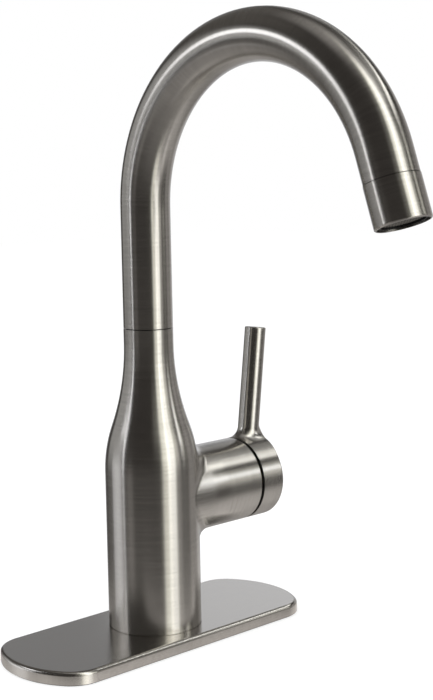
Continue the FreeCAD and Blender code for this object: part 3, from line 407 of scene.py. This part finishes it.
def handle_nickel(looks):
    """Nickel brushed round the cap's axis below and round the lever above its flare."""
    parts = new_material("nickel_plate_brushed_round_cap_and_lever")
    _, tree, _, place = parts
    z = add_node(tree, "ShaderNodeSeparateXYZ", {0: place}).outputs["Z"]
    cap_top = VALVE_HEIGHT + CAP_RADIUS
    on_lever = smooth_share(tree, z, cap_top - 3 * MM, cap_top + 6 * MM)
    on_cap_grain, on_lever_grain = (grain_vector(tree, place, looks, axis) for axis in "XZ")
    grain = blended(tree, on_lever, on_cap_grain, on_lever_grain)
    lever_axis = (math.sin(LEVER_LEAN), 0, math.cos(LEVER_LEAN))
    across = blended(tree, on_lever, (1, 0, 0), lever_axis)
    return finish_nickel(parts, grain, across, looks, turning=on_lever)


class FAUCET_OT_nickel(bpy.types.Operator):
    """Finishes every visible metal piece in brushed nickel"""

    bl_idname = "faucet.nickel"
    bl_label = "Brushed nickel"

    def execute(self, context):
        looks = context.scene.faucet_looks
        dress(plate_nickel(looks), "deck_plate")
        dress(body_nickel(looks), "faucet_body")
        dress(tube_nickel(looks), "spout_tube")
        dress(tip_nickel(looks), "aerator_housing")
        dress(handle_nickel(looks), "handle")
        return {"FINISHED"}


# ------------------------------------------------------------ other finishes

SHEEN_SWING = 0.08  # of the roughness, either way


def plain_finish(name, low, high, roughness, scale, relief, metallic=0.0):
    """A finish whose colour wanders between two close tones in a fine noise, which is its relief too."""
    material, tree, output, place = new_material(name)
    noise = add_node(
        tree, "ShaderNodeTexNoise", {"Vector": place, "Scale": 1 / scale, "Detail": 4.0}
    ).outputs["Fac"]
    tone = add_node(tree, "ShaderNodeValToRGB", {"Fac": noise})
    tone.color_ramp.elements[0].position = 0.35
    tone.color_ramp.elements[0].color = (*srgb(low), 1)
    tone.color_ramp.elements[1].position = 0.65
    tone.color_ramp.elements[1].color = (*srgb(high), 1)
    rough = add_node(
        tree,
        "ShaderNodeMapRange",
        {"Value": noise, "To Min": roughness - SHEEN_SWING, "To Max": roughness + SHEEN_SWING},
    )
    bump = add_node(tree, "ShaderNodeBump", {"Strength": 0.3, "Distance": relief, "Height": noise})
    shader = add_node(
        tree,
        "ShaderNodeBsdfPrincipled",
        {
            "Base Color": tone.outputs["Color"],
            "Metallic": metallic,
            "Roughness": rough.outputs["Result"],
            "Normal": bump.outputs["Normal"],
        },
    )
    tree.links.new(shader.outputs["BSDF"], output.inputs["Surface"])
    return material


class FAUCET_OT_trim(bpy.types.Operator):
    """Finishes the seals, plastics, ceramic discs and bare metal pieces"""

    bl_idname = "faucet.trim"
    bl_label = "Trim finishes"

    def execute(self, context):
        # Moulded nitrile rubber: a dull, slightly warm black that stays a plain dark line in a seam.
        rubber = plain_finish("nitrile_rubber_moulded", "#101010", "#1C1B1A", 0.6, 0.6 * MM, 0.02 * MM)
        dress(rubber, "body_seal", "mounting_gasket", "port_seals", "spout_seals", "aerator_washer")
        # Die-cut foam rubber: open cells that swallow the light, for the line under the deck plate.
        foam = plain_finish("foam_rubber_die_cut", "#0C0C0C", "#242322", 0.9, 0.9 * MM, 0.15 * MM)
        dress(foam, "deck_gasket")
        # Moulded acetal, dyed black: a low, even sheen.
        acetal = plain_finish("black_acetal_moulded", "#0B0B0C", "#151516", 0.42, 0.8 * MM, 0.01 * MM)
        dress(acetal, "deck_plate_base", "glide_ring", "dome_cover", "aerator_insert")
        # Moulded acetal, undyed: a warm milky white with the same sheen.
        white = plain_finish("white_acetal_moulded", "#D9D6CD", "#E6E3DB", 0.4, 1.2 * MM, 0.01 * MM)
        dress(white, "cartridge_base", "cartridge_housing", "stem_carrier", "disc_driver")
        # Lapped alumina: ivory, and flat and smooth enough to shine like glazed china.
        alumina = plain_finish("alumina_ceramic_lapped", "#E9E6DC", "#F2EFE6", 0.15, 0.5 * MM, 0.002 * MM)
        dress(alumina, "fixed_disc", "moving_disc")
        # Turned brass: a warm yellow shine, a little blurred by the tool's marks.
        brass = plain_finish("brass_turned", "#C9A45A", "#D8B873", 0.28, 0.5 * MM, 0.01 * MM, metallic=1.0)
        dress(brass, "mounting_nut", "spout_shank", "aerator_adapter", "stem", "cartridge_nut")
        # Zinc plate on steel: a cool grey with a silky, faintly cloudy shine.
        steel = plain_finish(
            "zinc_plated_steel", "#A9ACAE", "#C3C6C8", 0.34, 1.5 * MM, 0.01 * MM, metallic=1.0
        )
        dress(steel, "mounting_washer", "spout_clip", "pivot_pin", "handle_screw")
        return {"FINISHED"}


# ------------------------------------------------------------ surface tools


def grid_faces(rows, columns, close_rows=False, close_columns=False):
    """Quads of a rows by columns grid of points, joined end to end where asked."""
    index = np.arange(rows * columns).reshape(rows, columns)
    if close_rows:
        index = np.vstack([index, index[:1]])
    if close_columns:
        index = np.hstack([index, index[:, :1]])
    a, b = index[:-1, :-1], index[:-1, 1:]
    c, d = index[1:, 1:], index[1:, :-1]
    return np.stack([a, b, c, d], axis=-1).reshape(-1, 4)


def mesh_piece(name, points, faces, body, material, sharp=math.radians(35)):
    """A piece of those points and faces: doubles merged, normals outwards, smooth but for its sharp edges."""
    mesh = bpy.data.meshes.new(name)
    mesh.from_pydata(points.reshape(-1, 3), [], faces)
    built = bmesh.new()
    built.from_mesh(mesh)
    bmesh.ops.remove_doubles(built, verts=built.verts, dist=1e-7)
    bmesh.ops.dissolve_degenerate(built, edges=built.edges, dist=1e-7)
    bmesh.ops.recalc_face_normals(built, faces=built.faces)
    built.to_mesh(mesh)
    built.free()
    mesh.shade_smooth()
    mesh.set_sharp_from_angle(angle=sharp)
    mesh.materials.append(material)
    piece = bpy.data.objects.new(name, mesh)
    bpy.context.scene.collection.objects.link(piece)
    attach(piece, body)
    return piece


# ------------------------------------------------------------ threaded shank

THREAD_STEPS = 8  # rows in one pitch
THREAD_SIDES = 96
THREAD_DEPTH = 0.61  # of the pitch
THREAD_FLAT = 0.1  # width of the crest and of the root, of the pitch


def threaded_shank(pitch, material):
    """The hollow shank with its thread.

    With u for the share of a turn round the shank and v for the row up it, a point is at height
    z = low + pitch * (v / steps + u - 1), held between the shank's ends. Its radius falls from the crest to
    the root and back once a pitch, as the distance from the nearest crest does, with a flat at either. Near
    an end it is no more than the root plus the distance from that end, which is the lead-in chamfer. The
    first and the last row are the bore.
    """
    depth = THREAD_DEPTH * pitch
    root = SHANK_RADIUS - depth
    turns = math.ceil((SHANK_HIGH - SHANK_LOW) / pitch) + 1
    rows = turns * THREAD_STEPS + 1
    v, u = np.meshgrid(np.arange(rows), np.linspace(0, 1, THREAD_SIDES + 1), indexing="ij")
    z = np.clip(SHANK_LOW + pitch * (v / THREAD_STEPS + u - 1), SHANK_LOW, SHANK_HIGH)
    from_crest = np.abs((v % THREAD_STEPS) / THREAD_STEPS - 0.5) * 2
    radius = SHANK_RADIUS - depth * np.clip((from_crest - THREAD_FLAT) / (1 - 2 * THREAD_FLAT), 0, 1)
    radius = np.minimum(radius, root + np.minimum(z - SHANK_LOW, SHANK_HIGH - z))
    bore = np.full((1, THREAD_SIDES + 1), SHANK_BORE)
    radius = np.vstack([bore, radius, bore])
    z = np.vstack([z[:1], z, z[-1:]])
    angle = np.vstack([u[:1], u, u[-1:]]) * 2 * math.pi
    points = np.stack([radius * np.cos(angle), radius * np.sin(angle), z], axis=-1)
    faces = grid_faces(rows + 2, THREAD_SIDES + 1, close_rows=True)
    return mesh_piece("threaded_shank", points, faces, "faucet_base", material)


class FAUCET_OT_shank(bpy.types.Operator):
    """Makes the mounting shank with its thread"""

    bl_idname = "faucet.shank"
    bl_label = "Threaded shank"

    def execute(self, context):
        brass = bpy.data.materials["brass_turned"]
        dress(brass, "mounting_shank")
        piece = threaded_shank(context.scene.faucet_looks.thread_pitch, brass)
        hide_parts("mounting_shank")
        return {"FINISHED"}


# ------------------------------------------------------------ aerator screen

SCREEN_HEIGHT = -18.2 * MM  # middle of the screen, from the tube's end
WIRE_SIDES = 6
WIRE_STEPS = 4  # points in one mesh of the screen


def woven_wires(radius, pitch, wire):
    """Centre lines of the wires of one family, in rows of points.

    Wire k lies at y = k * pitch and runs between the two points where it meets the rim. Its height swings by
    half a wire's thickness as cos(pi * x / pitch), and the other way in every second wire, so that it passes
    over and under the wires that cross it.
    """
    most = int(radius / pitch)
    number = np.arange(-most, most + 1)[:, None]
    offset = number * pitch
    reach = np.sqrt(radius**2 - offset**2)
    count = 2 * most * WIRE_STEPS + 1
    x = np.linspace(-1, 1, count)[None, :] * reach
    y = np.broadcast_to(offset, x.shape)
    z = SCREEN_HEIGHT + wire / 2 * np.cos(math.pi * x / pitch) * np.where(number % 2 == 0, 1, -1)
    return np.stack([x, y, z], axis=-1)


def wire_tubes(lines, wire):
    """Round tubes about the lines: at each point, a ring square to X with the wire's radius."""
    angle = np.arange(WIRE_SIDES) / WIRE_SIDES * 2 * math.pi
    ring = np.stack([np.zeros(WIRE_SIDES), np.cos(angle), np.sin(angle)], axis=-1) * wire / 2
    return lines[:, :, None, :] + ring


def aerator_screen(pitch, wire, material):
    """Woven screen: a family of wires along X, and the same one along Y.

    The second has the first's X and Y exchanged and its heights mirrored about the screen's middle, so where
    one wire goes over, the other goes under.
    """
    low, high = node_span("aerator_screen", "X")
    radius = (high - low) / 2 - wire / 3
    tubes = wire_tubes(woven_wires(radius, pitch, wire), wire)
    count, steps = tubes.shape[:2]
    crossing = tubes[..., [1, 0, 2]]
    crossing[..., 2] = 2 * SCREEN_HEIGHT - crossing[..., 2]
    points = np.concatenate([tubes, crossing]).reshape(-1, 3)
    wall = grid_faces(steps, WIRE_SIDES, close_columns=True)
    ring = np.arange(WIRE_SIDES)
    ends = np.stack([ring[::-1], ring + (steps - 1) * WIRE_SIDES])
    faces = []
    for start in range(0, 2 * count * steps * WIRE_SIDES, steps * WIRE_SIDES):
        faces += (wall + start).tolist() + (ends + start).tolist()
    return mesh_piece("aerator_woven_screen", tip_place(points), faces, "spout", material, math.radians(70))


class FAUCET_OT_screen(bpy.types.Operator):
    """Makes the aerator's woven screen"""

    bl_idname = "faucet.screen"
    bl_label = "Aerator screen"

    def execute(self, context):
        looks = context.scene.faucet_looks
        # Drawn stainless wire: a smooth mid grey that gives each wire one thin light line.
        wire = plain_finish(
            "stainless_wire_drawn", "#8B8A86", "#A5A39E", 0.3, 0.5 * MM, 0.002 * MM, metallic=1.0
        )
        dress(wire, "aerator_screen")
        piece = aerator_screen(looks.screen_pitch, looks.screen_wire, wire)
        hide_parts("aerator_screen")
        return {"FINISHED"}


# ------------------------------------------------------------ stage

# What the metal reflects, as soft panels round the faucet. For each: degrees to the right of the camera, half
# width, degrees above the horizon, half height, width of its soft edge, colour and level.
PANELS = (
    (54, 10, 26, 46, 7, "#FFFFFB", 1.65),  # tall soft box at the front right
    (39, 10, 34, 40, 7, "#FFFFF4", 1.35),  # its wide part
    (39, 9, -25, 12, 8, "#FFFFF4", 1.15),  # its wide lower part
    (67, 8, 15, 15, 7, "#FFFFF4", 0.75),  # its side part
    (20, 10, 42, 32, 14, "#FFFFF4", 0.12),  # the glow at its left
    (70, 18, 56, 9, 12, "#FFFFFB", 0.9),  # its upper wing
    (54, 9, -38, 24, 16, "#FFFBF8", 0.24),  # its trace on the table
    (73, 5, 4, 12, 8, "#FFFBF8", 0.3),  # wall beside it
    (109, 17, 39.5, 3, 4, "#FFFFFB", 3.2),  # ceiling strip at the right
    (136, 14, 40.5, 4, 5, "#FFFFFB", 0.8),  # its far end
    (110, 22, 53, 6, 9, "#FFFFFB", 0.35),  # the glow above it
    (92, 5, 15, 12, 6, "#FFFFF4", 0.85),  # window at the right
    (97, 24, 5, 7, 5, "#FFFBF8", 0.16),  # its sill
    (74, 7, -34, 12, 10, "#FFFBF8", 0.5),  # floor beside the soft box
    (130, 24, -2, 24, 12, "#FFFBF8", 0.22),  # grey wall at the right
    (152, 14, 0, 20, 10, "#FFFFFF", 0.25),  # its paler end
    (100, 26, -46, 22, 18, "#FFFBF8", 0.3),  # table at the right
    (168, 8, 34, 9, 8, "#FFFFFF", 0.35),  # patch of the ceiling behind
    (-130, 46, 42, 14, 16, "#FFF8F0", 0.06),  # ceiling at the left
    (-170, 18, -36, 12, 12, "#FFFBF8", 0.18),  # table behind
    (-54, 8, -15, 9, 12, "#FFFBF8", 0.14),  # faint patch of the table at the left
    (-108, 28, 7, 15, 12, "#FFFFFF", 0.38),  # pale wall at the left
    (180, 24, 4, 24, 18, "#F8FAFF", 0.3),  # pale wall behind
    (-140, 90, -52, 30, 24, "#FFFBF8", 0.12),  # table at the left and behind
    (0, 180, -90, 66, 46, "#FFFBF8", 0.16),  # table
    (40, 180, 90, 22, 24, "#FFFBF8", 0.26),  # ceiling
)
DARK_COLOUR, DARK_LEVEL = "#FFF2E6", 0.035  # the dark room behind the camera

# Glow of the table top that the metal mirrors. For each part: the distance from the deck plate's middle line
# up to which it is full, the one where it ends, and its level.
TABLE_GLOWS = (
    (36 * MM, 58 * MM, 0.24),  # close round the plate
    (30 * MM, 170 * MM, 0.16),  # wide and faint
)

# For each lamp: its place, what it faces, width, height, power, whether metal mirrors it, and its spread in
# degrees. A narrow spread keeps a lamp to the low pieces, or to the branch.
LAMPS = {
    "top_lamp": ((-0.5, -0.6, 1.3), (0, 0, 0.1), 0.9, 0.9, 5.0, False, 180),  # soft shadow on the table
    "left_lamp": ((-0.59, 0.49, 0.455), (0, -0.05, 0.36), 0.23, 0.16, 0.33, True, 180),  # line on the arch
    "left_strip": ((-0.523, 0.26, 0.31), (0, 0, 0.31), 0.045, 0.28, 0.085, True, 180),  # line down the riser
    "left_low": ((-0.501, 0.228, 0.03), (0, 0, 0.03), 0.035, 0.34, 0.006, True, 60),  # the same on the body
    "left_card": ((-0.28, 0.285, -0.03), (0, 0, -0.03), 0.24, 0.2, 0.02, True, 70),  # pale card, low left
    "back_card": ((0.37, 0.31, 0.15), (0.055, 0, 0.01), 0.2, 0.22, 0.062, True, 180),  # pale card behind
    "right_card": ((0.315, -0.284, 0.188), (0.045, -0.01, 0.078), 0.11, 0.1, 0.0009, True, 16),  # branch
}


def soft_window(tree, value, half, soft):
    """1 within half of zero, 0 beyond it, with a smooth step as wide as soft between them."""
    size = add_node(tree, "ShaderNodeMath", {0: value}, operation="ABSOLUTE").outputs[0]
    return smooth_share(tree, size, half + soft / 2, half - soft / 2)


def studio_colour(tree, facing):
    """Colour of the studio in each direction: the dark room plus every panel that lies that way.

    The direction is turned by the camera's azimuth. Its own azimuth is then the angle of its X and -Y, which
    is 0 towards the camera and grows to the right, and its elevation is the arcsine of its Z.
    """
    way = add_node(tree, "ShaderNodeTexCoord").outputs["Generated"]
    turned = add_node(
        tree, "ShaderNodeVectorRotate", {"Vector": way, "Angle": facing}, rotation_type="Z_AXIS"
    ).outputs[0]
    parts = add_node(tree, "ShaderNodeSeparateXYZ", {0: turned})
    x, y, z = (parts.outputs[letter] for letter in "XYZ")
    behind = add_node(tree, "ShaderNodeMath", {0: y, 1: -1.0}, operation="MULTIPLY").outputs[0]
    aside = add_node(tree, "ShaderNodeMath", {0: x, 1: behind}, operation="ARCTAN2").outputs[0]
    azimuth = add_node(tree, "ShaderNodeMath", {0: aside}, operation="DEGREES").outputs[0]
    rise = add_node(tree, "ShaderNodeMath", {0: z}, operation="ARCSINE").outputs[0]
    elevation = add_node(tree, "ShaderNodeMath", {0: rise}, operation="DEGREES").outputs[0]
    total = [DARK_LEVEL * channel for channel in srgb(DARK_COLOUR)]
    for centre, half_width, middle, half_height, soft, colour, level in PANELS:
        right = add_node(tree, "ShaderNodeMath", {0: azimuth, 1: centre}, operation="SUBTRACT").outputs[0]
        near = add_node(tree, "ShaderNodeMath", {0: right, 1: 180.0, 2: -180.0}, operation="WRAP").outputs[0]
        over = add_node(tree, "ShaderNodeMath", {0: elevation, 1: middle}, operation="SUBTRACT").outputs[0]
        wide = soft_window(tree, near, half_width, soft)
        tall = soft_window(tree, over, half_height, soft)
        shape = add_node(tree, "ShaderNodeMath", {0: wide, 1: tall}, operation="MULTIPLY").outputs[0]
        light = [level * channel for channel in srgb(colour)]
        total = add_node(
            tree, "ShaderNodeVectorMath", {0: shape, 1: light, 2: total}, operation="MULTIPLY_ADD"
        ).outputs[0]
    return total


def make_world(facing):
    """White for the camera, the studio for reflections, and an even light for everything else."""
    world = bpy.data.worlds.new("soft_studio")
    bpy.context.scene.world = world
    world.use_nodes = True
    tree = world.node_tree
    tree.nodes.clear()
    rays = add_node(tree, "ShaderNodeLightPath").outputs
    even = add_node(tree, "ShaderNodeBackground", {"Color": (1, 1, 1, 1), "Strength": 0.8}).outputs[0]
    studio = add_node(tree, "ShaderNodeBackground", {"Color": studio_colour(tree, facing)}).outputs[0]
    white = add_node(tree, "ShaderNodeBackground", {"Color": (1, 1, 1, 1)}).outputs[0]
    lit = add_node(tree, "ShaderNodeMixShader", {0: rays["Is Glossy Ray"], 1: even, 2: studio}).outputs[0]
    seen = add_node(
        tree,
        "ShaderNodeMath",
        {0: rays["Is Camera Ray"], 1: rays["Is Transmission Ray"]},
        operation="MAXIMUM",
    ).outputs[0]
    shown = add_node(tree, "ShaderNodeMixShader", {0: seen, 1: lit, 2: white}).outputs[0]
    add_node(tree, "ShaderNodeOutputWorld", {"Surface": shown})


def make_floor():
    """A wide table top of matt white laminate.

    The camera sees it as white as the world, with the faucet's soft shadow on it. Metal sees the studio
    through it, brightened by the glows near the deck plate: their distance is the length of (|x| - core, y),
    with the first no less than 0, which is how far a point lies from the plate's middle line.
    """
    half = 3.0
    drop = 0.1 * MM
    mesh = bpy.data.meshes.new("table_top")
    corners = [(-half, -half, -drop), (half, -half, -drop), (half, half, -drop), (-half, half, -drop)]
    mesh.from_pydata(corners, [], [(0, 1, 2, 3)])
    floor = bpy.data.objects.new("table_top", mesh)
    bpy.context.scene.collection.objects.link(floor)
    material, tree, output, place = new_material("white_laminate_matt")
    rays = add_node(tree, "ShaderNodeLightPath").outputs
    matt = add_node(tree, "ShaderNodeBsdfDiffuse", {"Color": (*srgb("#BDBDBD"), 1)}).outputs[0]
    whitened = add_node(tree, "ShaderNodeEmission", {"Strength": 0.62}).outputs[0]
    bright = add_node(tree, "ShaderNodeAddShader", {0: matt, 1: whitened}).outputs[0]
    shown = add_node(tree, "ShaderNodeMixShader", {0: rays["Is Camera Ray"], 1: matt, 2: bright}).outputs[0]
    outward = add_node(tree, "ShaderNodeVectorMath", {0: place}, operation="ABSOLUTE").outputs[0]
    core = (PLATE_CORE, 0, 0)
    inset = add_node(tree, "ShaderNodeVectorMath", {0: outward, 1: core}, operation="SUBTRACT").outputs[0]
    past_end = add_node(
        tree, "ShaderNodeVectorMath", {0: inset, 1: (0, 0, 0)}, operation="MAXIMUM"
    ).outputs[0]
    reach = add_node(tree, "ShaderNodeVectorMath", {0: past_end}, operation="LENGTH").outputs["Value"]
    level = 0.0
    for full, gone, most in TABLE_GLOWS:
        share = smooth_share(tree, reach, gone, full)
        level = add_node(
            tree, "ShaderNodeMath", {0: share, 1: most, 2: level}, operation="MULTIPLY_ADD"
        ).outputs[0]
    # Painted glow of the table near the deck plate, seen only in the metal's reflections.
    painted_table_glow = add_node(
        tree, "ShaderNodeEmission", {"Color": (*srgb("#FFFAF6"), 1), "Strength": level}
    ).outputs[0]
    clear = add_node(tree, "ShaderNodeBsdfTransparent").outputs[0]
    mirrored = add_node(tree, "ShaderNodeAddShader", {0: clear, 1: painted_table_glow}).outputs[0]
    whole = add_node(
        tree, "ShaderNodeMixShader", {0: rays["Is Glossy Ray"], 1: shown, 2: mirrored}
    ).outputs[0]
    tree.links.new(whole, output.inputs["Surface"])
    mesh.materials.append(material)


def make_lamp(name, place, target, width, height, power, mirrored, spread):
    """A soft rectangular lamp that faces its target, lights within spread and stays out of the picture."""
    lamp = bpy.data.lights.new(name, "AREA")
    lamp.shape = "RECTANGLE"
    lamp.size, lamp.size_y = width, height
    lamp.energy = power
    lamp.spread = math.radians(spread)
    lamp.color = srgb("#F8FAFF")
    lamp_object = bpy.data.objects.new(name, lamp)
    lamp_object.location = place
    lamp_object.rotation_euler = (Vector(target) - Vector(place)).to_track_quat("-Z", "Y").to_euler()
    lamp_object.visible_glossy = mirrored
    lamp_object.visible_camera = False
    bpy.context.scene.collection.objects.link(lamp_object)


def make_camera(stage):
    """The photograph's camera, from its azimuth, pitch and roll, with its lens shifted towards the base."""
    azimuth, pitch, roll = stage.azimuth, stage.pitch, stage.roll
    ahead = Vector((math.sin(azimuth), math.cos(azimuth), 0))
    right = Vector((math.cos(azimuth), -math.sin(azimuth), 0))
    up = Vector((0, 0, 1))
    look = ahead * math.cos(pitch) - up * math.sin(pitch)
    crown = up * math.cos(pitch) + ahead * math.sin(pitch)
    x_axis = right * math.cos(roll) + crown * math.sin(roll)
    y_axis = crown * math.cos(roll) - right * math.sin(roll)
    camera = bpy.data.cameras.new("camera")
    camera.sensor_width = 36
    camera.lens = stage.lens
    camera.shift_y = stage.shift
    camera.clip_start, camera.clip_end = 0.05, 20
    camera_object = bpy.data.objects.new("camera", camera)
    turn = Matrix((x_axis, y_axis, -look)).transposed().to_4x4()
    place = right * stage.side + up * stage.height - ahead * stage.distance
    camera_object.matrix_world = Matrix.Translation(place) @ turn
    bpy.context.scene.collection.objects.link(camera_object)
    bpy.context.scene.camera = camera_object


class FAUCET_OT_stage(bpy.types.Operator):
    """Makes the floor, the light and the camera"""

    bl_idname = "faucet.stage"
    bl_label = "Stage"

    def execute(self, context):
        stage = context.scene.faucet_stage
        make_floor()
        make_world(stage.azimuth)
        for name, settings in LAMPS.items():
            make_lamp(name, *settings)
        make_camera(stage)
        context.scene.view_settings.view_transform = "Standard"
        return {"FINISHED"}


# ------------------------------------------------------------ panel and start


class FAUCET_PT_looks(bpy.types.Panel):
    """Lists the faucet's settings and the steps that make it"""

    bl_label = "Faucet"
    bl_space_type = "VIEW_3D"
    bl_region_type = "UI"
    bl_category = "Faucet"

    def draw(self, context):
        for group in (context.scene.faucet_looks, context.scene.faucet_stage):
            for name in group.bl_rna.properties.keys():
                if name not in ("rna_type", "name"):
                    self.layout.prop(group, name)
        for operator in STEPS:
            self.layout.operator(operator.bl_idname)


STEPS = (FAUCET_OT_stage, FAUCET_OT_nickel, FAUCET_OT_trim, FAUCET_OT_shank, FAUCET_OT_screen)
CLASSES = (FaucetLooks, FaucetStage, *STEPS, FAUCET_PT_looks)


def register():
    """Makes the faucet's settings, steps and panel known."""
    for made in CLASSES:
        bpy.utils.register_class(made)
    bpy.types.Scene.faucet_looks = bpy.props.PointerProperty(type=FaucetLooks)
    bpy.types.Scene.faucet_stage = bpy.props.PointerProperty(type=FaucetStage)


def unregister():
    """Takes them away again."""
    del bpy.types.Scene.faucet_stage
    del bpy.types.Scene.faucet_looks
    for made in reversed(CLASSES):
        bpy.utils.unregister_class(made)


def main():
    """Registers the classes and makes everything."""
    register()
    bpy.ops.faucet.stage()
    bpy.ops.faucet.nickel()
    bpy.ops.faucet.trim()
    bpy.ops.faucet.shank()
    bpy.ops.faucet.screen()


if __name__ == "__main__":
    main()
